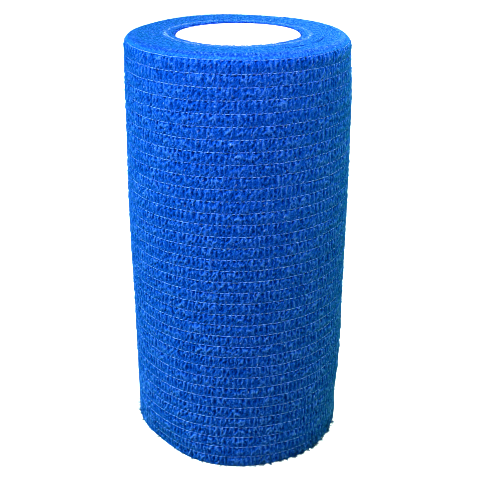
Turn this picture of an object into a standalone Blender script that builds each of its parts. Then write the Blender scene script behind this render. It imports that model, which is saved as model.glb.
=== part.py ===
"""A roll of self-gripping crepe bandage on a tube, standing on end.

Metres, +Z up. The origin is the middle of the face that the roll stands on. Azimuth 0 is the
front of the roll, towards -Y, and a positive azimuth turns towards +X.
"""

import math
from typing import NamedTuple

import bmesh
import bpy
from mathutils import Vector

# The roll as a whole
ROLL_HEIGHT = 0.100  # the bandage's width, because the roll stands on the bandage's edges
ROLL_RADIUS = 0.0262
TURN_THICKNESS = 0.0006  # one turn of crepe, pressed by the winding
TAIL_AZIMUTH = math.radians(152)  # where the outermost turn ends, on the far side
TAIL_SPREAD = math.radians(0.9)  # the angle over which the surface drops at that end

# The tube that it is wound on
BORE_RADIUS = 0.0127
CORE_WALL = 0.0015
CORE_INSET = 0.0004  # the tube stops this far inside each end of the roll
CORE_CHAMFER = 0.0003
FIT_CLEARANCE = 0.0003

# The stitched lines that run round the roll, with a puffed rib between each two
LINE_COUNT = 36
LINE_PITCH = 0.002744
TOP_LINE_DEPTH = 0.0012  # from the top face down to the first line
RIB_RISE = 0.00035
RIB_SHOULDER = 0.27  # the share of the pitch in which a rib comes up to its full rise

# The roll's two ends, and the mouths where the cloth meets the tube
TOP_ROUND = (0.0024, 0.0022)  # inward, downward
FOOT_ROUND = (0.0003, 0.0006)  # inward, upward
TOP_ROUND_STEPS = (0.70, 0.90, 1.00)  # shares of the rounding's height that lie above the top line
FOOT_ROUND_STEPS = (0.00, 0.25, 0.60)
TOP_FACE_DIP = 0.0003  # the innermost turns stand this much lower
MOUTH_CHAMFER = 0.0004

COLUMNS = 44  # facets round the roll


class Girth(NamedTuple):
    """How far the side stands out from ROLL_RADIUS at one height."""

    height: float
    standing_out: float


class Lobe(NamedTuple):
    """A slow wave that runs round the roll, and turns as it goes up."""

    count: int
    rise: float
    crest_deg: float
    turn_deg: float


class Dent(NamedTuple):
    """A place where the side is pressed in (a positive depth) or stands out (a negative one)."""

    azimuth_deg: float
    height: float
    half_width_deg: float
    half_height: float
    depth: float


BARREL = (
    Girth(0.000, 0.00020),
    Girth(0.010, -0.00010),
    Girth(0.030, 0.00000),
    Girth(0.062, 0.00025),
    Girth(0.085, 0.00010),
    Girth(0.100, -0.00010),
)

LOBES = (
    Lobe(2, 0.00010, -60, 30),
    Lobe(5, 0.00005, 60, 50),
)

DENTS = (
    Dent(-50, 0.000, 27, 0.0050, 0.00175),
    Dent(-30, 0.088, 26, 0.0200, -0.00035),
    Dent(-26, 0.012, 13, 0.0180, -0.00025),
    Dent(-52, 0.026, 18, 0.0200, 0.00025),
    Dent(42, 0.012, 20, 0.0160, -0.00030),
    Dent(-8, 0.030, 22, 0.0240, 0.00025),
    Dent(18, 0.056, 18, 0.0240, 0.00020),
    Dent(80, 0.004, 22, 0.0090, 0.00090),
    Dent(100, 0.100, 36, 0.0100, 0.00065),
    Dent(-122, 0.100, 20, 0.0060, 0.00035),
    Dent(178, 0.062, 36, 0.0200, 0.00022),
)


def smooth_share(value, low, high):
    """0 at low and 1 at high, with no corner at either."""
    share = min(1.0, max(0.0, (value - low) / (high - low)))
    return share * share * (3 - 2 * share)


def barrel(height):
    """How far the side stands out at this height, read from BARREL."""
    for low, high in zip(BARREL, BARREL[1:]):
        if height <= high.height:
            share = smooth_share(height, low.height, high.height)
            return low.standing_out + (high.standing_out - low.standing_out) * share
    return BARREL[-1].standing_out


def turned_from(azimuth, centre_deg):
    """The angle from centre_deg to azimuth, the short way round."""
    return (azimuth - math.radians(centre_deg) + math.pi) % math.tau - math.pi


def unevenness(azimuth, height):
    """What hand winding and handling add to the round side: slow waves, and a few dents."""
    total = 0.0
    for lobe in LOBES:
        crest = math.radians(lobe.crest_deg + lobe.turn_deg * height / ROLL_HEIGHT)
        total += lobe.rise * math.cos(lobe.count * (azimuth - crest))
    for dent in DENTS:
        across = turned_from(azimuth, dent.azimuth_deg) / math.radians(dent.half_width_deg)
        upward = (height - dent.height) / dent.half_height
        total -= dent.depth * math.exp(-(across**2) - upward**2)
    return total


def spiral(azimuth):
    """The outermost turn winds outwards by one thickness, and drops back where it ends."""
    turned = (azimuth - TAIL_AZIMUTH) % math.tau
    wound = min(1.0, turned / (math.tau - TAIL_SPREAD))
    dropped = smooth_share(turned, math.tau - TAIL_SPREAD, math.tau)
    return TURN_THICKNESS * (wound - dropped - 0.5)


def edge_round(height):
    """How far the rounded ends draw the side in at this height."""
    foot = max(0.0, 1 - height / FOOT_ROUND[1])
    top = max(0.0, 1 - (ROLL_HEIGHT - height) / TOP_ROUND[1])
    foot_inward = FOOT_ROUND[0] * (1 - math.sqrt(1 - foot**2))
    top_inward = TOP_ROUND[0] * (1 - math.sqrt(1 - top**2))
    return foot_inward + top_inward


def line_heights():
    """The height of each stitched line, from the lowest up."""
    top_line = ROLL_HEIGHT - TOP_LINE_DEPTH
    return [top_line - index * LINE_PITCH for index in reversed(range(LINE_COUNT))]


def side_rings():
    """(how deep in a groove, height) of each ring of the outer wall, from the foot up."""
    lines = line_heights()
    rings = [(0.0, share * FOOT_ROUND[1]) for share in FOOT_ROUND_STEPS]
    for line in lines:
        rings.append((RIB_RISE, line))
        if line != lines[-1]:
            rings.append((0.0, line + RIB_SHOULDER * LINE_PITCH))
            rings.append((0.0, line + (1 - RIB_SHOULDER) * LINE_PITCH))
    rings += [(0.0, ROLL_HEIGHT - TOP_ROUND[1] * (1 - share)) for share in TOP_ROUND_STEPS]
    return rings


def roll_profile():
    """The wound cloth cut through one side: (radius, height, how much of the unevenness it takes)."""
    mouth = BORE_RADIUS + CORE_WALL + FIT_CLEARANCE
    side = [(ROLL_RADIUS - edge_round(height) - inside, height, 1.0) for inside, height in side_rings()]
    return side + [
        ((mouth + ROLL_RADIUS) / 2, ROLL_HEIGHT - TOP_FACE_DIP / 3, 0.4),
        (mouth + MOUTH_CHAMFER, ROLL_HEIGHT - TOP_FACE_DIP, 0.0),
        (mouth, ROLL_HEIGHT - TOP_FACE_DIP - MOUTH_CHAMFER, 0.0),
        (mouth, MOUTH_CHAMFER, 0.0),
        (mouth + MOUTH_CHAMFER, 0.0, 0.0),
    ]


def core_profile():
    """The tube cut through one side, with its corners broken. It takes none of the unevenness."""
    outer = BORE_RADIUS + CORE_WALL
    low, high = CORE_INSET, ROLL_HEIGHT - CORE_INSET
    return [
        (BORE_RADIUS + CORE_CHAMFER, low, 0.0),
        (outer - CORE_CHAMFER, low, 0.0),
        (outer, low + CORE_CHAMFER, 0.0),
        (outer, high - CORE_CHAMFER, 0.0),
        (outer - CORE_CHAMFER, high, 0.0),
        (BORE_RADIUS + CORE_CHAMFER, high, 0.0),
        (BORE_RADIUS, high - CORE_CHAMFER, 0.0),
        (BORE_RADIUS, low + CORE_CHAMFER, 0.0),
    ]


def wind(vert, taken):
    """Moves a point of the round roll out or in to where the wound cloth really lies."""
    azimuth = math.atan2(vert.co.x, -vert.co.y)
    out = barrel(vert.co.z) + unevenness(azimuth, vert.co.z) + spiral(azimuth)
    outward = Vector((math.sin(azimuth), -math.cos(azimuth), 0))
    vert.co += outward * out * taken


def turned_mesh(name, profile):
    """Spins a closed profile round the axis, joins the two ends of the turn, and winds it out of round."""
    turned = bmesh.new()
    evenness = turned.verts.layers.float.new("taken")
    start = Vector((math.sin(TAIL_AZIMUTH), -math.cos(TAIL_AZIMUTH), 0))
    ring = []
    for radius, height, taken in profile:
        vert = turned.verts.new(start * radius + Vector((0, 0, height)))
        vert[evenness] = taken
        ring.append(vert)
    first = [turned.edges.new(pair) for pair in zip(ring, ring[1:] + ring[:1])]
    spun = bmesh.ops.spin(
        turned,
        geom=ring + first,
        cent=(0, 0, 0),
        axis=(0, 0, 1),
        angle=math.tau - TAIL_SPREAD,
        steps=COLUMNS,
    )
    last = [part for part in spun["geom_last"] if isinstance(part, bmesh.types.BMEdge)]
    bmesh.ops.bridge_loops(turned, edges=first + last)
    bmesh.ops.recalc_face_normals(turned, faces=turned.faces)
    for vert in turned.verts:
        wind(vert, vert[evenness])
    turned.verts.layers.float.remove(evenness)
    mesh = bpy.data.meshes.new(name)
    turned.to_mesh(mesh)
    turned.free()
    return mesh


def plain_material(name, colour, roughness):
    """A material of one colour. Neither the cloth nor the tube is metal."""
    material = bpy.data.materials.new(name)
    material.use_nodes = True
    shader = material.node_tree.nodes["Principled BSDF"]
    shader.inputs["Base Color"].default_value = (*colour, 1.0)
    shader.inputs["Roughness"].default_value = roughness
    shader.inputs["Metallic"].default_value = 0.0
    return material


def place(name, mesh, material, sharp_deg):
    """Adds one sub-part to the scene, shaded smooth but for its real corners."""
    mesh.materials.append(material)
    mesh.shade_smooth()
    mesh.set_sharp_from_angle(angle=math.radians(sharp_deg))
    bpy.context.scene.collection.objects.link(bpy.data.objects.new(name, mesh))


def bandage_roll():
    """The crepe, wound on its tube: one solid, because its turns grip each other."""
    blue_crepe = plain_material("blue_crepe", (0.013, 0.130, 0.730), 0.95)
    place("bandage_roll", turned_mesh("bandage_roll", roll_profile()), blue_crepe, 70)


def core_tube():
    """The tube in the middle."""
    white_tube = plain_material("white_tube", (0.860, 0.860, 0.840), 0.55)
    place("core_tube", turned_mesh("core_tube", core_profile()), white_tube, 40)


def main():
    for obj in list(bpy.data.objects):
        bpy.data.objects.remove(obj)
    bandage_roll()
    core_tube()


main()
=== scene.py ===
from collections import namedtuple
from math import cos, pi, radians, sin, tau

import bpy
import numpy as np
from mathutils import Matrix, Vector


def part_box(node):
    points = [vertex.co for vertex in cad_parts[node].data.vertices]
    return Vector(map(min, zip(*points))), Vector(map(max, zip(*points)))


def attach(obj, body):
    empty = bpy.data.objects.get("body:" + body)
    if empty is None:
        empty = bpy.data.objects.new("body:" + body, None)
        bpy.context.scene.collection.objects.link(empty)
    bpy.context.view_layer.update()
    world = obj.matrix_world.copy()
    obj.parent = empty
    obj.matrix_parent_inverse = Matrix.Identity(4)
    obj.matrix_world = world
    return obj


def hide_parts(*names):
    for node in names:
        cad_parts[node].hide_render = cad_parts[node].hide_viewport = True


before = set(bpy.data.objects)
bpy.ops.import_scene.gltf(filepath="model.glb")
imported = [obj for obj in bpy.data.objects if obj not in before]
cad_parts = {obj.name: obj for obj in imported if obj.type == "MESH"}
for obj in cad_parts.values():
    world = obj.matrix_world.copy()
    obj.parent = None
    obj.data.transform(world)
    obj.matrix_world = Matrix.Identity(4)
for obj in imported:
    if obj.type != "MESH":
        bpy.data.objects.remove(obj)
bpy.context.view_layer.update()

# The roll stands on end, as in part.py: azimuth 0 faces -Y, and a positive azimuth turns towards +X.
# Lengths are in metres. Names that end in _MM, and the pattern's own coordinates, are in millimetres.

ROLL_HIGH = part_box("bandage_roll")[1]
CORE_LOW, CORE_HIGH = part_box("core_tube")
MM = 0.001
SEED = 27

# How far the side stands out from ROLL_RADIUS at one height
Girth = namedtuple("Girth", "height standing_out")
# A slow wave that runs round the roll, and turns as it goes up
Lobe = namedtuple("Lobe", "count rise crest_deg turn_deg")
# A smooth hump: its place is a height on the side, and a radius on an end face
Bump = namedtuple("Bump", "azimuth_deg place half_width_deg half_length amount")

# The wound form, as in part.py
ROLL_HEIGHT = ROLL_HIGH.z
ROLL_RADIUS = 0.0262
TURN_THICKNESS = 0.0006
TAIL_AZIMUTH = radians(152)
TAIL_DROP = tau - radians(0.9)  # how far round the outermost turn drops to the one below
CORE_RADIUS = CORE_HIGH.x
CORE_WALL = 0.0015
FIT_CLEARANCE = 0.0003
MOUTH_RADIUS = CORE_RADIUS + FIT_CLEARANCE
TOP_ROUND = (0.0024, 0.0022)  # inward, downward
FOOT_ROUND = (0.0003, 0.0006)  # inward, upward
TOP_FACE_DIP = 0.0003
BARREL = (
    Girth(0.0, 0.0002),
    Girth(0.01, -0.0001),
    Girth(0.03, 0.0),
    Girth(0.062, 0.00025),
    Girth(0.085, 0.0001),
    Girth(0.1, -0.0001),
)
LOBES = (
    Lobe(2, 0.0001, -60, 30),
    Lobe(5, 0.00005, 60, 50),
)
DENTS = (
    Bump(-50, 0.0, 27, 0.005, 0.00175),
    Bump(-30, 0.088, 26, 0.02, -0.00035),
    Bump(-26, 0.012, 13, 0.018, -0.00025),
    Bump(-52, 0.026, 18, 0.02, 0.00025),
    Bump(42, 0.012, 20, 0.016, -0.0003),
    Bump(-8, 0.03, 22, 0.024, 0.00025),
    Bump(18, 0.056, 18, 0.024, 0.0002),
    Bump(80, 0.004, 22, 0.009, 0.0009),
    Bump(100, 0.1, 36, 0.01, 0.00065),
    Bump(178, 0.062, 36, 0.02, 0.00022),
    # Slight ones. The solid has only part of the first, and none of the others.
    Bump(-117, 0.1, 20, 0.006, 0.00075),
    Bump(60, 0.001, 22, 0.006, 0.0004),
    Bump(-92, 0.054, 34, 0.02, -0.0002),
    Bump(88, 0.052, 34, 0.022, 0.00016),
)

# The top face isn't quite level or flat
TOP_LEAN = 0.009  # its slope, down towards +X
TOP_LEAN_DEPTH = 0.012  # how far down the side the slope is felt
TOP_RISES = (Bump(-163, 0.1, 30, 0.012, 0.0003),)  # where its rim stands a little higher
MOUTH_RISES = (  # where the cloth beside the tube stands a little higher
    Bump(58, 0.0146, 36, 0.002, 0.00032),
    Bump(-62, 0.0146, 24, 0.002, 0.00016),
)

# The stitched lines
LINE_COUNT = 36
LINE_PITCH = 0.002744
ROW_MM = LINE_PITCH / MM
TOP_LINE_DEPTH = 0.0012
LINE_WANDER = 0.00006
LINE_WANDER_WAVE_MM = 7.0
SAG_END = 0.004  # towards the roll's ends the lines run true
SAGS = (  # where the lines hang lower than they would on an even roll
    Bump(-62, 0.08, 42, 0.03, 0.00032),
    Bump(48, 0.008, 26, 0.02, 0.00032),
    Bump(24, 0.044, 26, 0.015, -0.00016),
)

# The grid that the side is made on
COLUMNS = 860
TAIL_COLUMNS = 3
ROW_STEPS = 12
ROW_CROWDING = 0.05  # brings a row's steps closer together beside its lines
FOOT_STEPS = 10
TOP_STEPS = 10
GRID_STEP_MM = (0.229, 0.191)  # upward, along
SIDE_PIECES = 4


# ---- numbers


def smooth(value, low, high):
    """0 at low and 1 at high, with no corner at either."""
    share = np.clip((value - low) / (high - low), 0.0, 1.0)
    return share * share * (3 - 2 * share)


def bell(value):
    """1 at 0, falling smoothly to 0 a few units away on either side."""
    return np.exp(-(value**2))


def unit(vectors):
    """The same directions, each 1 long."""
    return vectors / np.linalg.norm(vectors, axis=-1, keepdims=True)


def band_noise(shape, step_mm, wave_mm, seed):
    """Noise on a grid, of about unit size, with its bumps about wave_mm apart each way."""
    rng = np.random.default_rng(seed)
    spectrum = np.fft.rfft2(rng.standard_normal(shape))
    across = np.fft.rfftfreq(shape[1], step_mm[1]) * wave_mm[1]
    upward = np.fft.fftfreq(shape[0], step_mm[0]) * wave_mm[0]
    frequency = np.hypot(across[None, :], upward[:, None])
    band_width = 0.55
    spectrum *= bell((frequency - 1.0) / band_width)
    noise = np.fft.irfft2(spectrum, shape)
    return noise / noise.std()


def line_noise(places_mm, wave_mm, rng):
    """Smooth noise along a line, between -1 and 1."""
    first = places_mm.min() - 2 * wave_mm
    knots = np.arange(first, places_mm.max() + 3 * wave_mm, wave_mm)
    values = rng.uniform(-1, 1, len(knots))
    index = np.searchsorted(knots, places_mm) - 1
    share = smooth(places_mm, knots[index], knots[index] + wave_mm)
    return values[index] * (1 - share) + values[index + 1] * share


# ---- the wound form


def barrel(height):
    """How far the side stands out at each height, read from BARREL."""
    heights, values = np.array(BARREL).T
    height = np.clip(height, heights[0], heights[-1])
    index = np.clip(np.searchsorted(heights, height) - 1, 0, len(heights) - 2)
    share = smooth(height, heights[index], heights[index + 1])
    return values[index] + (values[index + 1] - values[index]) * share


def turned_from(azimuth, centre_deg):
    """The angle from centre_deg to azimuth, the short way round."""
    return (azimuth - radians(centre_deg) + pi) % tau - pi


def bumps(azimuth, place, table):
    """The sum of the table's humps at each azimuth and place."""
    total = 0.0
    for bump in table:
        across = turned_from(azimuth, bump.azimuth_deg) / radians(bump.half_width_deg)
        along = (place - bump.place) / bump.half_length
        total += bump.amount * np.exp(-(across**2) - along**2)
    return total


def unevenness(azimuth, height):
    """What winding and handling add to the round side: slow waves and a few dents."""
    total = -bumps(azimuth, height, DENTS)
    for lobe in LOBES:
        crest = np.radians(lobe.crest_deg + lobe.turn_deg * height / ROLL_HEIGHT)
        total += lobe.rise * np.cos(lobe.count * (azimuth - crest))
    return total


def spiral(turned):
    """The outermost turn winds outwards by one thickness, and drops where it ends."""
    wound = np.minimum(1.0, turned / TAIL_DROP)
    dropped = smooth(turned, TAIL_DROP, tau)
    return TURN_THICKNESS * (wound - dropped - 0.5)


def edge_round(height):
    """How far the rounded ends draw the side in at each height."""
    foot = np.clip(1 - height / FOOT_ROUND[1], 0, 1)
    top = np.clip(1 - (ROLL_HEIGHT - height) / TOP_ROUND[1], 0, 1)
    return FOOT_ROUND[0] * (1 - np.sqrt(1 - foot**2)) + TOP_ROUND[0] * (1 - np.sqrt(1 - top**2))


def side_radius(turned, height):
    """The side's radius at each angle round from the tail."""
    azimuth = TAIL_AZIMUTH + turned
    return ROLL_RADIUS + barrel(height) + unevenness(azimuth, height) + spiral(turned) - edge_round(height)


def lean(azimuth, radius, height):
    """How much higher a point is because the top face isn't quite level or flat."""
    near_top = smooth(height, ROLL_HEIGHT - TOP_LEAN_DEPTH, ROLL_HEIGHT)
    slope = -TOP_LEAN * radius * np.sin(azimuth) * near_top
    return slope + bumps(azimuth, height, TOP_RISES) * (radius / ROLL_RADIUS) ** 2


def placed(azimuth, radius, height):
    """Points, from their azimuth, radius and height."""
    places = np.broadcast_arrays(radius * np.sin(azimuth), -radius * np.cos(azimuth), height)
    return np.stack(places, axis=-1)


def outward(azimuth):
    """The level direction that points away from the axis at each azimuth."""
    return placed(azimuth, 1.0, 0.0)


# ---- puckers


# Hollow cells lie between the stitched lines, with crests of cloth between the cells.
CELL_MM = 1.12
CELL_LEAST_MM = 0.7
CELL_MOST_MM = 1.65
CELL_DRIFT_MM = 0.3
CELL_NEW_STEP = (0.75, 1.25)  # how far on a new cell is put, in CELL_MM
CELL_SQUASH = 0.44  # lengths up a row count for this much of those along it
CELL_HOLLOW_MM = 0.28
CELL_WALL = (0.2, 1.2)  # how strong the crest round a cell is
CELL_REACH = 6  # how many cells to each side are tried for the nearest ones
WARP_MM = 0.06
CREST_WIDTH_MM = 0.175
LOW_CALM = 0.56  # the lower part of a row is smoother than its upper part
LOW_TO_UPPER = (0.1, 0.65)
# Painted light beside each row's lines and painted shade along its middle, so that the pillows look flatter
# than their shape shades them
ROW_PAINTED_LIGHT = 0.046  # a row is paler beside its lines than along its middle
ROW_PAINTED_LIGHT_UP = 0.97
SIDE_INSET_MM = 0.1

# Small pits right under each line
PIT_UP = (0.9, 0.02)  # how far up the row, give or take
PIT_ASIDE_MM = 0.12
PIT_DEPTH = (1.15, 0.6)
PIT_WIDTH_MM = 0.22
PIT_HEIGHT = 0.07

# Where cloth lies over a line's thread
BRIDGE_STEP_MM = (0.85, 1.35)
BRIDGE_STRENGTH = (0.6, 1.6)
BRIDGE_LENGTH_MM = 0.155
BRIDGE_WIDTH_MM = 0.26

# Above the top line the cloth is smoother: a row of notches, then fine streaks
EDGE_CALM = 0.2
EDGE_NOTCH_UP = 0.13

# A kind of cell: how far up its row it lies, give or take, and how deep it may be
Hollow = namedtuple("Hollow", "up spread depth")
TALL = Hollow(0.54, 0.07, (0.1, 1.2))
LOWER = Hollow(0.27, 0.06, (0.0, 1.1))
UPPER = Hollow(0.74, 0.05, (0.4, 1.5))
SMALL = tuple(Hollow(up, 0.03, (0.2, 1.4)) for up in (0.15, 0.5, 0.85))
TALL_BELOW = 0.48  # a draw from 0 to 1 below this gives one tall hollow,
PAIR_BELOW = 0.85  # one below this gives two over each other, and any other gives three
PAIR_ASIDE_MM = 0.1
SMALL_ASIDE_MM = 0.14

# The hollows and pits of one row, each an array
RowCells = namedtuple("RowCells", "along up depth wall pit_along pit_up pit_depth")


def next_places(places, rng, length_mm):
    """A row's cells from those of the row below: each moves, and some join or part."""
    moved = np.sort(places + rng.normal(0, CELL_DRIFT_MM, len(places)))
    kept = [-2.0 * CELL_MM]
    for place in [*moved, length_mm + 2.0 * CELL_MM]:
        step = place - kept[-1]
        if step < CELL_LEAST_MM:
            continue
        while step > CELL_MOST_MM:
            kept.append(kept[-1] + rng.uniform(*CELL_NEW_STEP) * CELL_MM)
            step = place - kept[-1]
        if step >= CELL_LEAST_MM:
            kept.append(place)
    return np.array(kept)


def row_cells(places, rng):
    """The hollows of one row: a tall one at each place, or two or three over each other."""
    along, up, depth = [], [], []

    def add(cell_along, kind):
        along.append(cell_along)
        up.append(rng.normal(kind.up, kind.spread))
        depth.append(rng.uniform(*kind.depth))

    for place in places:
        draw = rng.random()
        if draw < TALL_BELOW:
            add(place, TALL)
        elif draw < PAIR_BELOW:
            aside = rng.normal(0, PAIR_ASIDE_MM)
            add(place + aside, LOWER)
            add(place - aside, UPPER)
        else:
            for kind in SMALL:
                add(place + rng.normal(0, SMALL_ASIDE_MM), kind)
    return RowCells(
        along=np.array(along),
        up=np.array(up),
        depth=np.array(depth),
        wall=rng.uniform(*CELL_WALL, len(along)),
        pit_along=places + rng.normal(0, PIT_ASIDE_MM, len(places)),
        pit_up=rng.normal(*PIT_UP, len(places)),
        pit_depth=np.maximum(0.0, rng.normal(*PIT_DEPTH, len(places))),
    )


def edge_cells(cells):
    """The same cells for above the top line: shallow, with notches for the pits."""
    return cells._replace(
        wall=cells.wall * EDGE_CALM,
        depth=cells.depth * EDGE_CALM,
        pit_up=cells.pit_up - cells.pit_up.mean() + EDGE_NOTCH_UP,
    )


def either_side(places, along_mm):
    """The places just before and just after each point of a row, by number."""
    onward = np.clip(np.searchsorted(places, along_mm), 1, len(places) - 1)
    return onward - 1, onward


def line_bridges(along_mm, rng):
    """How much cloth lies over one line's thread: a pucker crosses it every so often."""
    count = int(along_mm[-1] / BRIDGE_STEP_MM[0]) + 2
    places = np.cumsum(rng.uniform(*BRIDGE_STEP_MM, count)) - 1.0
    strength = np.minimum(1.0, rng.uniform(*BRIDGE_STRENGTH, len(places)))
    bridge = np.zeros_like(along_mm)
    for near in either_side(places, along_mm):
        bridge += strength[near] * bell((along_mm - places[near]) / BRIDGE_LENGTH_MM)
    return bridge


def pits(cells, along_mm, up):
    """How deep the pits under the next line are over one row's grid."""
    depth = np.zeros_like(along_mm)
    for near in either_side(cells.pit_along, along_mm):
        across = (along_mm - cells.pit_along[near]) / PIT_WIDTH_MM
        upward = (up - cells.pit_up[near]) / PIT_HEIGHT
        depth = np.maximum(depth, cells.pit_depth[near] * np.exp(-(across**2) - upward**2))
    return depth


def network(cells, along_mm, up):
    """(crest, hollow) over one row's grid. Crests run between cells, as where bubbles meet."""
    order = np.argsort(cells.along)
    cell_along = cells.along[order]
    cell_up = cells.up[order] * ROW_MM * CELL_SQUASH
    depth, wall = cells.depth[order], cells.wall[order]
    near = np.searchsorted(cell_along, along_mm)
    reach = np.arange(-CELL_REACH, CELL_REACH)
    picked = np.clip(near[..., None] + reach, 0, len(cell_along) - 1)
    across = along_mm[..., None] - cell_along[picked]
    upward = up[..., None] * ROW_MM * CELL_SQUASH - cell_up[picked]
    away = across**2 + upward**2
    ranked = np.argsort(away, axis=-1)

    def cell_of_rank(rank):
        """(the cell of this rank by distance, its distance squared)."""
        place = ranked[..., rank : rank + 1]
        return np.take_along_axis(picked, place, -1)[..., 0], np.take_along_axis(away, place, -1)[..., 0]

    first, away_first = cell_of_rank(0)
    crest = np.zeros_like(along_mm)
    for rank in (1, 2, 3):
        other, away_other = cell_of_rank(rank)
        apart = np.hypot(cell_along[first] - cell_along[other], cell_up[first] - cell_up[other])
        from_wall = (away_other - away_first) / np.maximum(2 * apart, 0.2)
        # Each pair of cells has its own strength, the same from either side
        uneven = 0.6 + 0.8 * ((first * 7 + other * 7) % 5) / 5
        strength = np.where(other == first, 0.0, 0.5 * (wall[first] + wall[other]) * uneven)
        crest = np.maximum(crest, strength * bell(from_wall / CREST_WIDTH_MM))
    hollow = depth[first] * np.exp(-away_first / CELL_HOLLOW_MM**2)
    return crest, np.maximum(hollow * (1 - np.minimum(crest, 1)), pits(cells, along_mm, up))


def line_gap(number, up, lines):
    """How far each point of a row's grid lies from the nearest line, in millimetres."""
    if number == 0:
        return (1 - up) * ROW_MM * (lines[0] / LINE_PITCH)
    if number == LINE_COUNT:
        return up * ROW_MM
    return np.minimum(up, 1 - up) * ROW_MM


def pucker_rows(shares, lines, along_mm, noise, rng):
    """(crest, hollow, gap to the nearest line in mm, bridge, painted light beside the lines) over the
    side's grid.
    """
    warp_along = WARP_MM * (noise((0.9, 0.9), 1) + 0.7 * noise((2.0, 2.0), 2))
    warp_up = WARP_MM / ROW_MM * noise((1.2, 1.2), 3)
    bridges = [line_bridges(along_mm, rng) for _ in lines]
    places = np.arange(-3, along_mm[-1] + 3, CELL_MM)
    rows = []
    first = 0
    for number, row_shares in enumerate(shares):
        part = np.s_[first : first + len(row_shares)]
        first += len(row_shares)
        up = np.repeat(row_shares[:, None], len(along_mm), axis=1)
        places = next_places(places, rng, along_mm[-1])
        cells = row_cells(places, rng)
        if number == LINE_COUNT:
            cells = edge_cells(cells)
        held = np.clip(np.minimum(up, 1 - up) / 0.15, 0, 1)
        crest, hollow = network(cells, along_mm + warp_along[part], up + warp_up[part] * held)
        calm = LOW_CALM + (1 - LOW_CALM) * smooth(up, *LOW_TO_UPPER)
        gap = line_gap(number, up, lines)
        below, above = bridges[max(number - 1, 0)], bridges[min(number, LINE_COUNT - 1)]
        bridge = np.where(up < 0.5, below, above) * bell(gap / BRIDGE_WIDTH_MM)
        # Painted light beside the lines and painted shade along the row's middle
        tone = ROW_PAINTED_LIGHT * np.cos(tau * (up - ROW_PAINTED_LIGHT_UP))
        rows.append(np.stack([crest * calm, hollow * calm, gap, bridge, tone]))
    return np.concatenate(rows, axis=1)


# ---- the side


# The relief: how high or deep each thing is, and how full
CREST_RISE_MM = 0.22
CREST_MIDDLE = 0.3
HOLLOW_DEPTH_MM = 0.17
GROOVE_DEPTH_MM = 0.14
GROOVE_WIDTH_MM = 0.24
GROOVE_FILLED = 0.65  # by a crest that crosses the line
PILLOW_MM = 0.12
PILLOW_FULLNESS = 0.6
PILLOW_FILLED = 0.6
BRIDGE_RISE_MM = 0.4
LUMP_MM = 0.03
FUZZ_MM = 0.025

# How the puckers vary
CRIMP_AT_FOOT = 1.3
CRIMP_AT_TOP = 0.9
PATCHINESS = 0.28
STEM_RISE = 0.18
PINHOLE_DEPTH = 1.1
PINHOLE_LIP = 0.22

# The cloth's tone, from 0 in a deep hollow to 1 on a high crest. The hollows, pits and pinholes are
# darkened by painted shade; the crests are paler partly from their outer fibres and partly by painted
# highlight.
TONE = 0.42
CREST_TONE_AND_HIGHLIGHT = 0.37
HOLLOW_PAINTED_SHADE = 0.39
BRIDGE_TONE = 0.1
LUMP_TONE = 0.03
FUZZ_TONE = 0.06

# The smooth edge above the top line, in shares of the top's rounding
EDGE_SPAN = (0.44, 0.6)
RIM_SPAN = (0.62, 1.0)
UPTURN_SPAN = (0.3, 1.0)  # where what stood outward comes to stand upward
FLATTENED_SPAN = (0.1, 0.7)
EDGE_TONE = 0.21
EDGE_HOLLOW_TONE = 0.12
EDGE_STREAK_TONE = 0.05
RIM_TONE = 0.46
RIM_LUMP_TONE = 0.12
# Painted light on the roll's ends, paler towards the far right
FACE_PAINTED_LIGHT = 0.12
FACE_PAINTED_LIGHT_AZIMUTH = radians(92)


def face_painted_light(azimuth, radius):
    """Painted light: the cloth's edges at the roll's ends are painted a little paler towards the far right,
    as if lit more from there.
    """
    return FACE_PAINTED_LIGHT * np.cos(azimuth - FACE_PAINTED_LIGHT_AZIMUTH) * radius / ROLL_RADIUS


def grid_columns():
    """How far round from the tail each column lies. The last few cross the tail's step."""
    dropping = np.linspace(TAIL_DROP, tau, TAIL_COLUMNS + 1)
    return np.concatenate([np.linspace(0, TAIL_DROP, COLUMNS + 1), dropping[1:]])


def stitched_lines(azimuth, along_mm, rng):
    """The height of each stitched line at each column, from the lowest line up."""
    lines = []
    for index in reversed(range(LINE_COUNT)):
        line = ROLL_HEIGHT - TOP_LINE_DEPTH - index * LINE_PITCH
        near_end = min(1.0, (ROLL_HEIGHT - line) / SAG_END, line / SAG_END)
        drop = bumps(azimuth, line, SAGS) * near_end
        lines.append(line - drop + LINE_WANDER * line_noise(along_mm, LINE_WANDER_WAVE_MM, rng))
    return np.array(lines)


def grid_rows(lines):
    """(how far up its row of cells each row of the grid is, each point's height)."""
    even = np.linspace(0, 1, ROW_STEPS + 1)[:-1]
    crowded = even - ROW_CROWDING * np.sin(tau * even)
    foot_shares = np.linspace(0, 1, FOOT_STEPS + 1)[:-1]
    top_shares = np.linspace(0, 1, TOP_STEPS + 1)
    heights = [lines[0] * share for share in foot_shares]
    for below, above in zip(lines, lines[1:]):
        heights += [below + (above - below) * share for share in crowded]
    start = np.clip((lines[-1] - (ROLL_HEIGHT - TOP_ROUND[1])) / TOP_ROUND[1], 0, 1)
    for share in top_shares:
        angle = np.arcsin(start) * (1 - share) + pi / 2 * share
        heights.append(ROLL_HEIGHT - TOP_ROUND[1] * (1 - np.sin(angle)))
    return [foot_shares] + [crowded] * (LINE_COUNT - 1) + [top_shares], np.array(heights)


def off_line(gap, full_mm):
    """0 on a stitched line, and 1 from full_mm away."""
    return np.clip(gap / full_mm, 0, 1)


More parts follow.
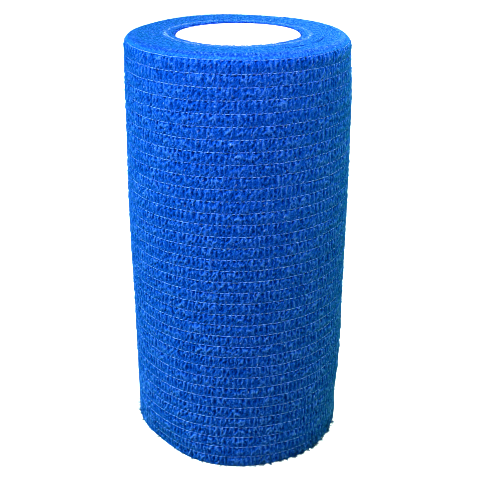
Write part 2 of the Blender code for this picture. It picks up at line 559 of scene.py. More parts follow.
def side_grid():
    """Every point of the side and its looks: the heart of the roll."""
    rng = np.random.default_rng(SEED)
    turned = grid_columns()
    along_mm = turned * ROLL_RADIUS / MM
    lines = stitched_lines(TAIL_AZIMUTH + turned, along_mm, rng)
    shares, height = grid_rows(lines)
    turned = np.broadcast_to(turned, height.shape)
    azimuth = TAIL_AZIMUTH + turned

    def noise(wave_mm, seed):
        """Noise of this size upward and along."""
        return band_noise(height.shape, GRID_STEP_MM, wave_mm, SEED + seed)

    crest, hollow, gap, bridge, row_painted_light = pucker_rows(shares, lines, along_mm, noise, rng)

    # Patches where the crests are stronger, and stems where they run straight up a row
    patchy = np.clip(1 + PATCHINESS * noise((1.0, 0.6), 4), 0.2, 1.7)
    crest = crest * patchy * (0.7 + 0.3 * off_line(gap, 0.45))
    crest += STEM_RISE * np.maximum(0, noise((2.4, 0.75), 5)) * off_line(gap, 0.4)
    hollow *= off_line(gap, 0.16)

    # The groove along each line, and the pillow between two, both less where a crest crosses
    crossed = np.clip(crest, 0, 1)
    groove = bell(gap / GROOVE_WIDTH_MM) * (1 - GROOVE_FILLED * crossed)
    pillow = off_line(gap, 0.5 * ROW_MM) ** PILLOW_FULLNESS
    pillow += PILLOW_FILLED * crossed * (1 - pillow)

    # Pinholes with a lip round them
    dotted = noise((0.85, 0.8), 8)
    dots = smooth(dotted, 1.0, 2.0)
    lips = bell((dotted - 0.75) / 0.25)
    hollow += PINHOLE_DEPTH * dots * off_line(gap, 0.3)
    crest = crest * (1 - 0.5 * dots) + PINHOLE_LIP * lips * off_line(gap, 0.5)

    crimp = CRIMP_AT_FOOT + (CRIMP_AT_TOP - CRIMP_AT_FOOT) * height / ROLL_HEIGHT
    crest = np.tanh(crest * 0.9) / 0.9 * crimp
    hollow *= crimp
    lumps = noise((1.1, 0.8), 6)
    fuzz = noise((0.5, 0.48), 7)
    out_mm = (
        CREST_RISE_MM * (crest - CREST_MIDDLE)
        - HOLLOW_DEPTH_MM * hollow
        - GROOVE_DEPTH_MM * groove
        + PILLOW_MM * (pillow - 1)
        + BRIDGE_RISE_MM * bridge
        + LUMP_MM * lumps
        + FUZZ_MM * fuzz
    )
    top_share = np.clip(1 - (ROLL_HEIGHT - height) / TOP_ROUND[1], 0, 1)
    on_edge = smooth(top_share, *EDGE_SPAN)
    at_rim = smooth(top_share, *RIM_SPAN)
    upturned = smooth(top_share, *UPTURN_SPAN)
    out_mm *= 1 - 0.35 * smooth(top_share, *FLATTENED_SPAN) - 0.25 * on_edge
    radius = side_radius(turned, height) + (out_mm * (1 - upturned) - SIDE_INSET_MM) * MM
    lifted = height + out_mm * MM * upturned
    lifted[0] = 0.0

    # Painted shade darkens the hollows and pits; the crests get painted highlight over their paler outer
    # fibres
    tone = TONE + CREST_TONE_AND_HIGHLIGHT * crest - HOLLOW_PAINTED_SHADE * hollow + BRIDGE_TONE * bridge
    # The rows' painted light and shade is added here
    tone = tone + LUMP_TONE * lumps + FUZZ_TONE * fuzz + row_painted_light
    streaks = EDGE_STREAK_TONE * noise((2.6, 0.6), 9)
    notches = EDGE_HOLLOW_TONE * np.clip(hollow, 0, 1.5)
    tone += on_edge * (EDGE_TONE * (1 - at_rim) + notches + streaks)
    tone = tone * (1 - at_rim) + at_rim * (RIM_TONE + RIM_LUMP_TONE * lumps)
    # Painted light on the rim, paler towards the far right
    tone += at_rim * face_painted_light(azimuth, ROLL_RADIUS)
    pale = 0.7 * smooth(noise((0.5, 0.5), 10), 2.5, 3.3)
    # The last column closes on the first: it lies on the turn below.
    for grid in (tone, pale, radius, lifted):
        grid[:, -1] = grid[:, 0]
    lifted += lean(azimuth, radius, lifted)
    return {
        "points": placed(azimuth, radius, lifted),
        "relief": np.clip(tone, 0, 1),
        "pale": pale,
        "face": on_edge,
        "calm": on_edge * (1 - at_rim),
        "along_mm": np.broadcast_to(along_mm, height.shape),
        "height": height,
        "turned": turned,
        "lines": lines,
    }


# ---- meshes


def grid_normals(points):
    """The outward normal at each point of a grid, from its neighbours."""
    return unit(np.cross(np.gradient(points, axis=1), np.gradient(points, axis=0)))


def new_mesh(name, points, corners, starts):
    """A smooth mesh, from its points, each face's corners in turn and where each face starts."""
    mesh = bpy.data.meshes.new(name)
    mesh.vertices.add(points.size // 3)
    mesh.vertices.foreach_set("co", points.astype(np.float32).ravel())
    mesh.loops.add(len(corners))
    mesh.loops.foreach_set("vertex_index", corners.astype(np.int32))
    mesh.polygons.add(len(starts))
    mesh.polygons.foreach_set("loop_start", starts.astype(np.int32))
    mesh.update(calc_edges=True)
    mesh.shade_smooth()
    return mesh


def grid_mesh(name, points, attributes, uv, normals=None):
    """A mesh of one quad for each cell of a grid of points."""
    rows, columns = points.shape[:2]
    index = np.arange(rows * columns).reshape(rows, columns)
    quads = np.stack([index[:-1, :-1], index[:-1, 1:], index[1:, 1:], index[1:, :-1]], axis=-1)
    corners = quads.ravel()
    mesh = new_mesh(name, points, corners, np.arange(0, quads.size, 4))
    for key, values in attributes.items():
        kind, field = ("FLOAT_VECTOR", "vector") if values.ndim == 3 else ("FLOAT", "value")
        layer = mesh.attributes.new(key, kind, "POINT")
        layer.data.foreach_set(field, values.astype(np.float32).ravel())
    layer = mesh.uv_layers.new(name="OFBake")
    layer.data.foreach_set("uv", uv.reshape(-1, 2)[corners].astype(np.float32).ravel())
    if normals is not None:
        mesh.normals_split_custom_set_from_vertices(normals.reshape(-1, 3).astype(np.float32))
    return mesh


def tube_mesh(name, points):
    """Many closed tubes as one mesh, from an array of (tube, ring, side, xyz)."""
    count, rings, sides = points.shape[:3]
    per_tube = rings * sides
    index = np.arange(per_tube).reshape(rings, sides)
    beside = np.roll(index, -1, axis=1)
    walls = np.stack([index[:-1], beside[:-1], beside[1:], index[1:]], axis=-1).reshape(-1, 4)
    caps = np.stack([index[0][::-1], index[-1]])
    base = (np.arange(count) * per_tube)[:, None, None]
    wall_corners = (walls[None] + base).ravel()
    cap_corners = (caps[None] + base).ravel()
    wall_starts = np.arange(0, wall_corners.size, 4)
    cap_starts = wall_corners.size + np.arange(0, cap_corners.size, sides)
    corners = np.concatenate([wall_corners, cap_corners])
    return new_mesh(name, points, corners, np.concatenate([wall_starts, cap_starts]))


def put_in_scene(name, data):
    made = bpy.data.objects.new(name, data)
    bpy.context.scene.collection.objects.link(made)
    return made


def add_piece(mesh, material, node_name):
    """Puts a mesh in the scene as a piece with its name, in place of a CAD node."""
    mesh.materials.append(material)
    piece = put_in_scene(mesh.name, mesh)
    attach(piece, "root")
    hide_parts(node_name)


def add_crepe(mesh, material):
    """The same, for a piece of the cloth."""
    add_piece(mesh, material, "bandage_roll")


def square_uv(rows, columns):
    """A grid laid over the whole picture, just inside its edges."""
    margin = 0.004
    u, v = np.meshgrid(np.linspace(margin, 1 - margin, columns), np.linspace(margin, 1 - margin, rows))
    return np.stack([u, v], axis=-1)


def side_pieces(side, material):
    """The side, in upright strips that meet without a step."""
    normals = grid_normals(side["points"])
    normals[:, 0] = normals[:, -1] = 0.5 * (normals[:, 0] + normals[:, -1])
    unrolled = np.stack([side["along_mm"], side["height"] / MM, np.zeros_like(side["height"])], axis=-1)
    edges = np.linspace(0, side["points"].shape[1] - 1, SIDE_PIECES + 1).astype(int)
    for number, (first, last) in enumerate(zip(edges, edges[1:]), start=1):
        part = np.s_[:, first : last + 1]
        points = side["points"][part]
        attributes = {key: side[key][part] for key in ("relief", "pale", "face", "calm")}
        attributes["unrolled"] = unrolled[part]
        uv = square_uv(*points.shape[:2])
        add_crepe(grid_mesh(f"side_{number}", points, attributes, uv, normals[part]), material)


# ---- end faces


END_ROWS = 38
FOOT_END_ROWS = 12
END_WIDTH_MM = 11.0
END_ROUND_MM = 130.0  # roughly once round the middle of the face
TURN_GROOVE_MM = 0.13
TURN_WAVE = 0.1
END_FELT_MM = 0.036
END_LUMP_MM = 0.04
FOOT_RELIEF = 0.8  # in shares of the top face's
MOUTH_DROP = 0.0006
MOUTH_RAGGED = 0.00013
INNER_WALL_DEPTH = 0.004
END_TONE = 0.436
END_FELT_TONE = 0.17
END_LUMP_TONE = 0.07
# Painted shade in the sunk grooves between the turns
END_GROOVE_PAINTED_SHADE = 0.3
END_GRAIN_TURN = 9.0  # the grain's length round the face, for each radian
END_UV_SIZE = 0.056
FACE_CALM = 0.24  # the ends are smoothest towards the right of the front
FACE_CALM_AZIMUTH = radians(60)

# One wider opening between two turns, at the right of the front, with a break in it. It is sunk, and
# darkened with painted shade.
# An arc is its middle, how far it's full and from where it's none, in degrees.
OPENING_ARC = (51, 20, 27)
OPENING_BREAK = (48, 2, 6)
OPENING_DEG = 50
OPENING_RADIUS = 0.0202
OPENING_DRIFT = 0.0011  # inward, for each radian on from OPENING_DEG
OPENING_WIDTH = 0.00034
OPENING_MM = 0.35
# Painted shade in the opening between two turns
OPENING_PAINTED_SHADE = 0.45

# An inner turn's edge line shows as a ring of pale specks, strongest at the left
SPECK_RADIUS = 0.0165
SPECK_WIDTH = 0.0003
SPECK_WANDER = 0.00012
SPECK_STRENGTH = 0.75
SPECK_STRENGTH_LEFT = 0.45
SPECK_LEFT_ARC = (-80, 40, 75)


def arc(azimuth, centre_deg, full_deg, none_deg):
    """1 within full_deg of the centre, and 0 from none_deg away."""
    away = np.abs(turned_from(azimuth, centre_deg))
    return smooth(-away, -radians(none_deg), -radians(full_deg))


def turn_opening(azimuth, radius):
    """How far the opening between two turns gapes at each point."""
    middle = OPENING_RADIUS - OPENING_DRIFT * turned_from(azimuth, OPENING_DEG)
    across = bell((radius - middle) / OPENING_WIDTH)
    return across * arc(azimuth, *OPENING_ARC) * (1 - arc(azimuth, *OPENING_BREAK))


def end_rim(side, top):
    """(the points of the edge that an end face starts from, how far round each is)."""
    row = -1 if top else 0
    last = side["turned"].shape[1] - 1
    # The foot has every other column, and the last one, which closes it
    columns = np.arange(last + 1) if top else np.append(np.arange(0, last, 2), last)
    return side["points"][row, columns], side["turned"][row, columns]


def end_face(side, top):
    """One end of the roll: the edges of its turns, crimped and felted together."""
    rim, turned = end_rim(side, top)
    rows = END_ROWS if top else FOOT_END_ROWS
    share = np.linspace(0, 1, rows + 1)[:, None]
    radius = np.hypot(rim[:, 0], rim[:, 1])[None, :] * (1 - share) + MOUTH_RADIUS * share
    angle = np.broadcast_to(turned, radius.shape)
    azimuth = TAIL_AZIMUTH + angle

    def noise(wave_mm, seed):
        """Noise of this size inward and round."""
        step_mm = (END_WIDTH_MM / rows, END_ROUND_MM / radius.shape[1])
        return band_noise(radius.shape, step_mm, wave_mm, SEED + seed)

    felt = noise((0.55, 0.6), 11)
    lumps = noise((1.5, 2.4), 12)
    wave = noise((2.5, 7.0), 13)
    # How many turns in from the outermost one, counted along the spiral
    turn = (ROLL_RADIUS - radius) / TURN_THICKNESS + angle / tau + TURN_WAVE * wave
    groove = (0.5 + 0.5 * np.cos(tau * turn)) ** 3
    groove_mm = TURN_GROOVE_MM * (0.55 + 0.45 * np.tanh(lumps)) * smooth(share, 0.0, 0.04)
    opening = turn_opening(azimuth, radius)
    out_mm = END_FELT_MM * felt + END_LUMP_MM * lumps - groove_mm * groove - OPENING_MM * opening
    out = out_mm * MM * smooth(share, 0.0, 0.03)
    mouth = smooth(share, 0.95, 1.0)
    inward = -1 if top else 1  # downward from the top face, upward from the foot
    if top:
        height = ROLL_HEIGHT + lean(azimuth, radius, ROLL_HEIGHT) - TOP_FACE_DIP * share**1.5 + out
    else:
        height = np.maximum(0.0, -FOOT_RELIEF * out)
    height[0] = rim[:, 2]
    height = height + inward * MOUTH_DROP * mouth + bumps(azimuth, radius, MOUTH_RISES if top else ())
    radius += MOUTH_RAGGED * np.clip(noise((4.0, 1.6), 16), -1.5, 2.5) * mouth
    points = placed(azimuth, radius, height)

    speck_ring = bell((radius - SPECK_RADIUS - SPECK_WANDER * wave) / SPECK_WIDTH)
    strength = SPECK_STRENGTH + SPECK_STRENGTH_LEFT * arc(azimuth, *SPECK_LEFT_ARC)
    speckle = noise((0.6, 0.55), 14)
    pale = speck_ring * strength * smooth(speckle, 0.35, 1.05)
    pale = np.maximum(pale, 0.8 * smooth(speckle, 2.5, 3.2))
    # Painted shade in the grooves between the turns
    tone = END_TONE + END_FELT_TONE * felt + END_LUMP_TONE * lumps - END_GROOVE_PAINTED_SHADE * groove
    # Painted light on the end face, paler towards the far right
    # Painted shade in the opening between two turns
    tone = tone - OPENING_PAINTED_SHADE * opening + face_painted_light(azimuth, radius)
    attributes = {
        "relief": np.clip(tone, 0, 1),
        "pale": pale,
        "face": np.full_like(tone, 1.0 if top else 0.0),
        "calm": FACE_CALM * (0.5 + 0.5 * np.cos(azimuth - FACE_CALM_AZIMUTH)),
        "unrolled": np.stack([angle * END_GRAIN_TURN, radius / MM, np.zeros_like(tone)], axis=-1),
    }

    # One more row: the cloth's inner wall, down beside the tube. It repeats the last row's looks.
    inner = points[-1:] + np.array([0, 0, inward * INNER_WALL_DEPTH])
    points = np.concatenate([points, inner])
    attributes = {key: np.concatenate([values, values[-1:]]) for key, values in attributes.items()}
    uv = 0.5 + points[..., :2] / END_UV_SIZE
    if top:
        return grid_mesh("top_end", points, attributes, uv)
    flipped = {key: values[::-1] for key, values in attributes.items()}
    return grid_mesh("foot_end", points[::-1], flipped, uv[::-1])


# ---- stitched threads


THREAD_RADIUS = 0.000088
THREAD_THICKNESS = (0.75, 1.25)
THREAD_SIDES = 3
THREAD_STEP_MM = 0.6
THREAD_END_MM = 0.6  # how far from the tail's edge a thread stops
THREAD_JITTER = 0.00004
# At the foot and at the top. Puckers that cross a line hide its thread.
THREAD_LIFT_MM = (-0.172, -0.212)
THREAD_WAVER_MM = 0.05
THREAD_WAVER_WAVE_MM = 6.0
TOP_THREAD_LIFT_MM = 0.025  # the top line lies on the rounded edge, and its thread shows more
THREAD_SUNK = (
    Bump(64, 0.004, 26, 0.013, 0.00024),  # where torn fibres cover the threads
    Bump(72, 0.05, 30, 0.07, 0.00005),
    Bump(-84, 0.045, 20, 0.06, 0.00008),
)


def thread_mesh(side):
    """The pale elastic threads, one along each line, half sunk in the cloth."""
    rng = np.random.default_rng(SEED + 21)
    along_mm = np.arange(THREAD_END_MM, side["along_mm"][0, -1] - THREAD_END_MM, THREAD_STEP_MM)
    turned = along_mm * MM / ROLL_RADIUS
    columns = side["turned"][0]
    height = np.array([np.interp(turned, columns, line) for line in side["lines"]])
    height += rng.normal(0, THREAD_JITTER, height.shape)
    slow = np.array([line_noise(along_mm, THREAD_WAVER_WAVE_MM, rng) for _ in side["lines"]])
    foot_mm, top_mm = THREAD_LIFT_MM
    lift_mm = foot_mm + (top_mm - foot_mm) * height / ROLL_HEIGHT
    lift_mm += THREAD_WAVER_MM * (slow + 0.6 * rng.normal(0, 1, height.shape))
    lift_mm -= bumps(TAIL_AZIMUTH + turned, height, THREAD_SUNK) / MM
    lift_mm[-1] += TOP_THREAD_LIFT_MM
    radius = side_radius(turned, height) + (lift_mm - SIDE_INSET_MM) * MM
    thick = THREAD_RADIUS * rng.uniform(*THREAD_THICKNESS, height.shape)
    ring = np.linspace(0, tau, THREAD_SIDES, endpoint=False) + pi / 4
    ring_out = radius[..., None] + thick[..., None] * np.cos(ring)
    ring_up = height[..., None] + thick[..., None] * np.sin(ring)
    azimuth = (TAIL_AZIMUTH + turned)[:, None]
    ring_up += lean(azimuth, ring_out, ring_up)
    return tube_mesh("stitch_threads", placed(azimuth, ring_out, ring_up))


# ---- loose fibres


SIDE_FIBRES = 2400
FACE_FIBRES = 620
FIBRE_RADIUS = 0.000016
FIBRE_RINGS = 3
FIBRE_SIDES = 3
FIBRE_LENGTH = (0.0004, 0.0014)
FIBRE_RISE = (0.0001, 0.00048)
FIBRE_THICKNESS = (0.7, 1.4)
FIBRE_TAPER = 0.6
LOOPED_SHARE = 0.45
FIBRE_ROOT_MM = 0.08  # how deep in the cloth a fibre starts
FACE_FIBRE_ROOT = 0.0002
LOWEST_FIBRE = 0.00002

# Torn tufts along the foot's edge
TUFTS = 1500
CLUMPS = 150
CLUMPS_ALL_ROUND = 0.35  # the share of the clumps that may lie anywhere
TUFT_AZIMUTH_DEG = 33
TUFT_SPREAD_DEG = 24
CLUMP_SPREAD_DEG = 0.16
TUFT_HEIGHT = (0.0001, 0.004)
TUFT_LENGTH = (0.00022, 0.001)
TUFT_VARIES = (0.7, 1.2)
TUFT_RADIUS = (0.000045, 0.0001)
TUFT_TIP = 0.4
TUFT_STRAY = 0.28


def rings_round(first_way, second_way):
    """Points round a circle in the plane of each pair of directions."""
    ring = np.linspace(0, tau, FIBRE_SIDES, endpoint=False)[None, :, None]
    return first_way[:, None, :] * np.cos(ring) + second_way[:, None, :] * np.sin(ring)


def fibre_tubes(name, points):
    """The fibres' mesh. None of them reaches into what the roll stands on."""
    points[..., 2] = np.maximum(points[..., 2], LOWEST_FIBRE)
    return tube_mesh(name, points)


def fibre_roots(rng):
    """(where each loose fibre starts, which way is out of the cloth there)."""
    turned = rng.uniform(0.02, tau - 0.05, SIDE_FIBRES)
    height = rng.uniform(0.0004, ROLL_HEIGHT - 0.0006, SIDE_FIBRES)
    radius = side_radius(turned, height) - (SIDE_INSET_MM + FIBRE_ROOT_MM) * MM
    azimuth = rng.uniform(0, tau, FACE_FIBRES)
    least, most = MOUTH_RADIUS + 0.0002, ROLL_RADIUS - 0.002
    face_radius = np.sqrt(rng.uniform(least**2, most**2, FACE_FIBRES))
    face_height = ROLL_HEIGHT - FACE_FIBRE_ROOT + lean(azimuth, face_radius, ROLL_HEIGHT)
    on_side = placed(TAIL_AZIMUTH + turned, radius, height)
    on_face = placed(azimuth, face_radius, face_height)
    upward = np.broadcast_to((0.0, 0.0, 1.0), on_face.shape)
    ways = np.concatenate([outward(TAIL_AZIMUTH + turned), upward])
    return np.concatenate([on_side, on_face]), ways


def fibre_mesh():
    """Short fibres that stand a little out of the cloth."""
    rng = np.random.default_rng(SEED + 31)
    root, out = fibre_roots(rng)
    count = len(root)
    along = unit(np.cross(out, rng.normal(0, 1, (count, 3))))
    length = rng.uniform(*FIBRE_LENGTH, count)
    rise = rng.uniform(*FIBRE_RISE, count)
    looped = (rng.random(count) < LOOPED_SHARE)[:, None]
    share = np.linspace(0, 1, FIBRE_RINGS)
    lift = np.where(looped, 4 * share * (1 - share), share**0.8) * rise[:, None]
    onward = length[:, None] * share
    path = root[:, None] + along[:, None] * onward[..., None] + out[:, None] * lift[..., None]
    thick = np.where(looped, 1.0, 1 - FIBRE_TAPER * share) * FIBRE_RADIUS
    thick *= rng.uniform(*FIBRE_THICKNESS, (count, 1))
    around = rings_round(np.cross(along, out), out)
    return fibre_tubes("loose_fibres", path[:, :, None, :] + around[:, None] * thick[..., None, None])


def foot_fibre_mesh():
    """The torn tufts along the foot's edge, closest together at the right of the front."""
    rng = np.random.default_rng(SEED + 32)
    clump_azimuth = np.where(
        rng.random(CLUMPS) < CLUMPS_ALL_ROUND,
        rng.uniform(-pi, pi, CLUMPS),
        np.radians(rng.normal(TUFT_AZIMUTH_DEG, TUFT_SPREAD_DEG, CLUMPS)),
    )
    clump_length = rng.uniform(*TUFT_LENGTH, CLUMPS)
    clump = rng.integers(0, CLUMPS, TUFTS)
    azimuth = clump_azimuth[clump] + rng.normal(0, radians(CLUMP_SPREAD_DEG), TUFTS)
    lowest, spread = TUFT_HEIGHT
    height = lowest + spread * rng.random(TUFTS) ** 3
    radius = side_radius((azimuth - TAIL_AZIMUTH) % tau, height) - SIDE_INSET_MM * MM
    root = placed(azimuth, radius, height)
    along = outward(azimuth) + rng.normal(0, TUFT_STRAY, root.shape)
    along[:, 2] = np.abs(along[:, 2]) * 0.4
    along = unit(along)
    length = clump_length[clump] * rng.uniform(*TUFT_VARIES, TUFTS)
    tip = root + along * length[:, None]
    side_way = unit(np.cross(along, (0.0, 0.0, 1.0)))
    around = rings_round(side_way, np.cross(along, side_way))
    around *= rng.uniform(*TUFT_RADIUS, (TUFTS, 1, 1))
    points = np.stack([root[:, None] + around, tip[:, None] + around * TUFT_TIP], axis=1)
    return fibre_tubes("foot_fibres", points)


# ---- tube


TUBE_SEGMENTS = 160
TUBE_CORNER = 0.00035
CORNER_STEPS = 5


def tube_profile():
    """(radius, height) round a cut through the tube's wall, with its rims rounded."""
    low, high = CORE_LOW.z + TUBE_CORNER, CORE_HIGH.z - TUBE_CORNER
    inner, outer = CORE_RADIUS - CORE_WALL + TUBE_CORNER, CORE_RADIUS - TUBE_CORNER
    profile = []
    for quarter, (radius, height) in enumerate(((outer, high), (inner, high), (inner, low), (outer, low))):
        for angle in (quarter + np.linspace(0, 1, CORNER_STEPS)) * pi / 2:
            profile.append((radius + TUBE_CORNER * cos(angle), height + TUBE_CORNER * sin(angle)))
    return np.array(profile)


def core_mesh():
    radius, height = tube_profile().T
    azimuth = np.linspace(0, tau, TUBE_SEGMENTS, endpoint=False)[:, None]
    points = placed(azimuth, radius, height)
    index = np.arange(TUBE_SEGMENTS * len(radius)).reshape(TUBE_SEGMENTS, len(radius))
    beside, onward = np.roll(index, -1, axis=0), np.roll(index, -1, axis=1)
    quads = np.stack([index, beside, np.roll(beside, -1, axis=1), onward], axis=-1)
    return new_mesh("tube", points, quads.ravel(), np.arange(0, quads.size, 4))


# ---- materials


# Places on the noise or tone, and the colour there
SIDE_STOPS = (
    (0.05, (0.0, 0.014, 0.17)),
    (0.3, (0.0001, 0.046, 0.36)),
    (0.5, (0.0014, 0.08, 0.5)),
    (0.86, (0.063, 0.245, 0.73)),
)
FACE_STOPS = (
    (0.1, (0.0004, 0.013, 0.19)),
    (0.38, (0.004, 0.042, 0.355)),
    (0.6, (0.015, 0.09, 0.51)),
    (0.88, (0.06, 0.182, 0.69)),
)
THREAD_STOPS = (
    (0.4, (0.08, 0.27, 1.0)),
    (0.55, (0.245, 0.53, 1.0)),
    (0.74, (0.33, 0.6, 1.0)),
)
LOOSE_STOPS = ((0.35, (0.003, 0.16, 0.44)), (0.65, (0.03, 0.36, 0.64)))
TORN_STOPS = ((0.35, (0.0, 0.06, 0.2)), (0.65, (0.002, 0.11, 0.32)))
TUBE_STOPS = ((0.25, (0.9, 0.9, 0.92)), (0.75, (0.95, 0.95, 0.95)))
EDGE_TINT = (0.38, 1.2, 1.0, 1.0)
PALE_SPECK = (0.36, 0.66, 0.98, 1.0)
SHEEN_TINT = (0.0, 0.58, 0.34, 1.0)

# Noises: scale, detail and roughness
FIBRE_NOISE = (1.0, 2.0, 0.6)
FINE_NOISE = (4.5, 3.0, 0.65)
BLOTCH_NOISE = (0.3, 2.0, 0.5)
GRAIN_NOISE = (3.2, 2.0, 0.7)
THREAD_NOISE = (1400.0, 2.0, 0.6)
LOOSE_NOISE = (300.0, 1.0, 0.5)
TUBE_NOISE = (900.0, 3.0, 0.6)

# The crepe: how much its fibres are stretched each way, and how far each noise shifts its tone
LYING = (1.4, 4.2, 1.0)
STANDING = (4.6, 1.5, 1.0)
FIBRE_TONE = 0.55
FINE_TONE = 1.15
BLOTCH_TONE = 0.16
GRAIN_TONE = 2.4
CALM_LOSS = 0.55


def new_material(name):
    """(a new material, its node tree, its shader)."""
    material = bpy.data.materials.new(name)
    material.use_nodes = True
    tree = material.node_tree
    return material, tree, tree.nodes["Principled BSDF"]


def feed(tree, target, values):
    """Gives a node's sockets what they take: a value or another node's socket."""
    for name, value in values.items():
        if isinstance(value, (int, float, tuple)):
            target.inputs[name].default_value = value
        else:
            tree.links.new(value, target.inputs[name])


def node(tree, kind, values, **settings):
    """A new node, with its settings and what its sockets take."""
    made = tree.nodes.new(kind)
    for key, value in settings.items():
        setattr(made, key, value)
    feed(tree, made, values)
    return made


def noise_node(tree, vector, scale, detail, roughness):
    values = {"Vector": vector, "Scale": scale, "Detail": detail, "Roughness": roughness}
    return node(tree, "ShaderNodeTexNoise", values).outputs["Fac"]


def stretched(tree, vector, scale):
    """The same places, stretched by a factor for each axis."""
    return node(tree, "ShaderNodeMapping", {"Vector": vector, "Scale": scale}).outputs["Vector"]


def maths(tree, operation, *values):
    """One sum, of numbers or sockets."""
    return node(tree, "ShaderNodeMath", dict(enumerate(values)), operation=operation).outputs[0]


def swing(tree, noise, amount):
    """A noise from 0 to 1, made to swing about 0 by half the amount each way."""
    return maths(tree, "MULTIPLY_ADD", noise, amount, -amount / 2)


def ramp(tree, factor, stops):
    """The colour at each place between the stops."""
    made = node(tree, "ShaderNodeValToRGB", {"Fac": factor})
    elements = made.color_ramp.elements
    while len(elements) < len(stops):
        elements.new(0.5)
    for element, (place, colour) in zip(elements, stops):
        element.position = place
        element.color = (*colour, 1.0)
    return made.outputs["Color"]


def mix_colour(tree, factor, first, second, blend="MIX"):
    """Two colours mixed. The mix node's sockets for colours are its seventh and eighth."""
    values = {0: factor, 6: first, 7: second}
    return node(tree, "ShaderNodeMix", values, data_type="RGBA", blend_type=blend).outputs[2]


def attribute(tree, name, output="Fac"):
    """What the mesh says of each point under this name."""
    return node(tree, "ShaderNodeAttribute", {}, attribute_name=name).outputs[output]


def bumped(tree, height, strength, distance):
    """Which way the surface faces, with a fine relief."""
    values = {"Height": height, "Strength": strength, "Distance": distance}
    return node(tree, "ShaderNodeBump", values).outputs["Normal"]


def crepe_material():
    """Blue crepe nonwoven with short fibres all over. The tone it reads from the relief attribute is dark
    in the hollows, pits and gaps between turns as painted shade, and paler on the crests partly as painted
    highlight, with painted light beside the lines and towards the far right of the ends.
    """
    material, tree, shader = new_material("crepe")
    calm, place = attribute(tree, "calm"), attribute(tree, "unrolled", "Vector")
    lying = noise_node(tree, stretched(tree, place, LYING), *FIBRE_NOISE)
    standing = noise_node(tree, stretched(tree, place, STANDING), *FIBRE_NOISE)
    fine = noise_node(tree, place, *FINE_NOISE)
    fibres = maths(tree, "ADD", swing(tree, lying, FIBRE_TONE), swing(tree, standing, FIBRE_TONE))
    lively = maths(tree, "ADD", fibres, swing(tree, fine, FINE_TONE))
    quiet = maths(tree, "MULTIPLY_ADD", calm, -CALM_LOSS, 1.0)
    level = maths(tree, "MULTIPLY_ADD", lively, quiet, attribute(tree, "relief"))
    level = maths(tree, "ADD", level, swing(tree, noise_node(tree, place, *BLOTCH_NOISE), BLOTCH_TONE))
    grain = swing(tree, noise_node(tree, place, *GRAIN_NOISE), GRAIN_TONE)
    face_level = maths(tree, "MULTIPLY_ADD", grain, quiet, level)
    on_side, on_face = ramp(tree, level, SIDE_STOPS), ramp(tree, face_level, FACE_STOPS)
    colour = mix_colour(tree, attribute(tree, "face"), on_side, on_face)
    colour = mix_colour(tree, calm, colour, EDGE_TINT, "MULTIPLY")
    colour = mix_colour(tree, attribute(tree, "pale"), colour, PALE_SPECK)
    feed(tree, shader, {
        "Base Color": colour,
        "Roughness": maths(tree, "MULTIPLY_ADD", fine, 0.16, 0.8),
        "Normal": bumped(tree, maths(tree, "ADD", fibres, fine), 0.8, 0.00005),
        "Specular IOR Level": 0.01,
        "Sheen Weight": 0.3,
        "Sheen Roughness": 0.4,
        "Sheen Tint": SHEEN_TINT,
    })
    return material


def patchy_material(name, stops, waves, roughness, shine, relief=0.0):
    """A material whose colour varies a little from place to place."""
    material, tree, shader = new_material(name)
    patches = noise_node(tree, node(tree, "ShaderNodeTexCoord", {}).outputs["Object"], *waves)
    values = {"Base Color": ramp(tree, patches, stops), "Roughness": roughness, "Specular IOR Level": shine}
    if relief:
        values["Normal"] = bumped(tree, patches, 0.3, relief)
    feed(tree, shader, values)
    return material


def thread_material():
    """Pale elastic, bluer here and there."""
    return patchy_material("pale_elastic_thread", THREAD_STOPS, THREAD_NOISE, roughness=0.7, shine=0.1)


def fibre_material(name, stops):
    """Single fibres of the crepe."""
    return patchy_material(name, stops, LOOSE_NOISE, roughness=0.8, shine=0.1)


def tube_material():
    """White, with a fine grain."""
    return patchy_material("white_tube", TUBE_STOPS, TUBE_NOISE, roughness=0.5, shine=0.5, relief=0.00003)


# ---- stage


FLOOR_REACH = 3.0
FLOOR_GLOW = 1.3
FLOOR_TINT = (0.78, 1.0, 0.88, 1.0)
FLOOR_WHITE = (0.92, 0.92, 0.92, 1.0)
FLOOR_BOUNCE = (0.15, 0.15, 0.15, 1.0)
WORLD_LIGHT = (0.3, 1.0, 0.04, 1.0)
WORLD_STRENGTH = 0.35
PICTURE_SOFTNESS = 0.9
CAMERA_BACK = 0.2066
CAMERA_HEIGHT = 0.1363
CAMERA_DOWN_DEG = 22.96
CAMERA_LENS_MM = 67.7
CAMERA_SHIFT_X = 0.0042
CAMERA_CLIP = 0.01

# A round soft light, and whether the camera sees it
Light = namedtuple("Light", "name place target width power colour seen")
MIDDLE = (0, 0, 0.05)
LIGHTS = (
    Light("key", (-0.43, -0.1, 0.31), MIDDLE, 0.28, 3.15, (0.52, 1.0, 1.12), True),
    Light("overhead", (0.0, -0.1, 0.25), MIDDLE, 0.3, 1.1, (0.84, 0.5, 0.95), True),
    Light("right", (0.4, -0.05, 0.2), MIDDLE, 0.3, 0.64, (0.2, 1.0, 0.25), True),
    Light("far_side", (0, 0.5, 0.045), (0, 0, 0.045), 0.09, 2.0, (0.55, 0.85, 1.0), False),
    Light("behind", (0.06, 0.026, 0.138), (0.01, 0, 0.1), 0.04, 0.052, (1.0, 1.0, 0.95), False),
    Light("top_front", (0, -0.075, 0.125), (0, -0.02, 0.09), 0.03, 0.008, (0.5, 0.8, 1), False),
    Light("in_the_bore", (0, 0, 0.045), (0, 0, 0.2), 0.016, 0.012, (1, 1, 1), False),
)


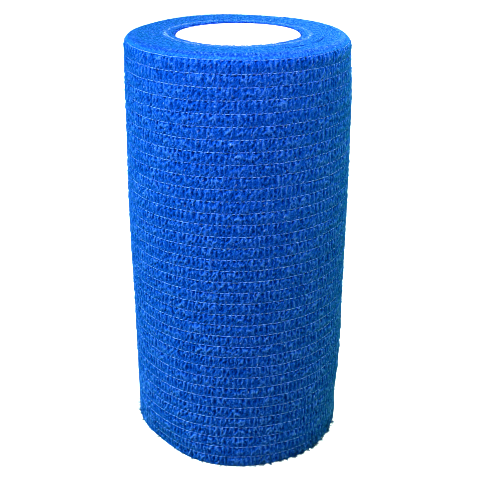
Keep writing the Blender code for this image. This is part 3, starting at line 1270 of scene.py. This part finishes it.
def soft_light(light):
    """One of the lights, turned to its target."""
    lamp = bpy.data.lights.new(light.name, "AREA")
    lamp.shape = "DISK"
    lamp.size = light.width
    lamp.energy = light.power
    lamp.color = light.colour
    made = put_in_scene(light.name, lamp)
    made.location = light.place
    made.rotation_euler = (Vector(light.target) - made.location).to_track_quat("-Z", "Y").to_euler()
    made.visible_camera = light.seen


def by_ray(tree, for_light, for_eye, output):
    """The camera sees one shader, and light comes from the other."""
    seen = node(tree, "ShaderNodeLightPath", {}).outputs["Is Camera Ray"]
    mixer = node(tree, "ShaderNodeMixShader", {0: seen, 1: for_light.outputs[0], 2: for_eye.outputs[0]})
    feed(tree, tree.nodes[output], {"Surface": mixer.outputs[0]})


def floor_material():
    """White to the eye, but little of its light reaches the roll, as on a large table."""
    material, tree, shader = new_material("pale_floor")
    feed(tree, shader, {
        "Base Color": FLOOR_WHITE,
        "Roughness": 0.9,
        "Specular IOR Level": 0.0,
        "Emission Color": FLOOR_TINT,
        "Emission Strength": FLOOR_GLOW,
    })
    dim = node(tree, "ShaderNodeBsdfDiffuse", {"Color": FLOOR_BOUNCE})
    by_ray(tree, dim, shader, "Material Output")
    return material


def studio_world():
    """White to the eye, like the floor. Its light on the roll is a dim green."""
    world = bpy.data.worlds.new("studio")
    world.use_nodes = True
    tree = world.node_tree
    ambient = tree.nodes["Background"]
    feed(tree, ambient, {"Color": WORLD_LIGHT, "Strength": WORLD_STRENGTH})
    backdrop = node(tree, "ShaderNodeBackground", {"Color": FLOOR_TINT, "Strength": FLOOR_GLOW})
    by_ray(tree, ambient, backdrop, "World Output")
    return world


def stage():
    """The floor, the backdrop and the lights."""
    mesh = bpy.data.meshes.new("floor")
    corners = [(x * FLOOR_REACH, y * FLOOR_REACH, 0) for x, y in ((-1, -1), (1, -1), (1, 1), (-1, 1))]
    mesh.from_pydata(corners, [], [(0, 1, 2, 3)])
    mesh.materials.append(floor_material())
    put_in_scene("floor", mesh)
    scene = bpy.context.scene
    scene.world = studio_world()
    scene.view_settings.view_transform = "Standard"
    scene.cycles.filter_width = PICTURE_SOFTNESS
    for light in LIGHTS:
        soft_light(light)


def camera():
    """The photograph's view."""
    data = bpy.data.cameras.new("camera")
    data.lens = CAMERA_LENS_MM
    data.sensor_width = 36.0
    data.shift_x = CAMERA_SHIFT_X
    data.clip_start = CAMERA_CLIP
    made = put_in_scene("camera", data)
    made.location = (0, -CAMERA_BACK, CAMERA_HEIGHT)
    made.rotation_euler = (radians(90 - CAMERA_DOWN_DEG), 0, 0)
    bpy.context.scene.camera = made


# ---- all


def roll():
    """Every piece of the bandage and its tube."""
    side = side_grid()
    crepe = crepe_material()
    side_pieces(side, crepe)
    add_crepe(end_face(side, top=True), crepe)
    add_crepe(end_face(side, top=False), crepe)
    add_crepe(thread_mesh(side), thread_material())
    add_crepe(fibre_mesh(), fibre_material("crepe_fibre", LOOSE_STOPS))
    add_crepe(foot_fibre_mesh(), fibre_material("torn_fibre", TORN_STOPS))
    add_piece(core_mesh(), tube_material(), "core_tube")


camera()
stage()
roll()
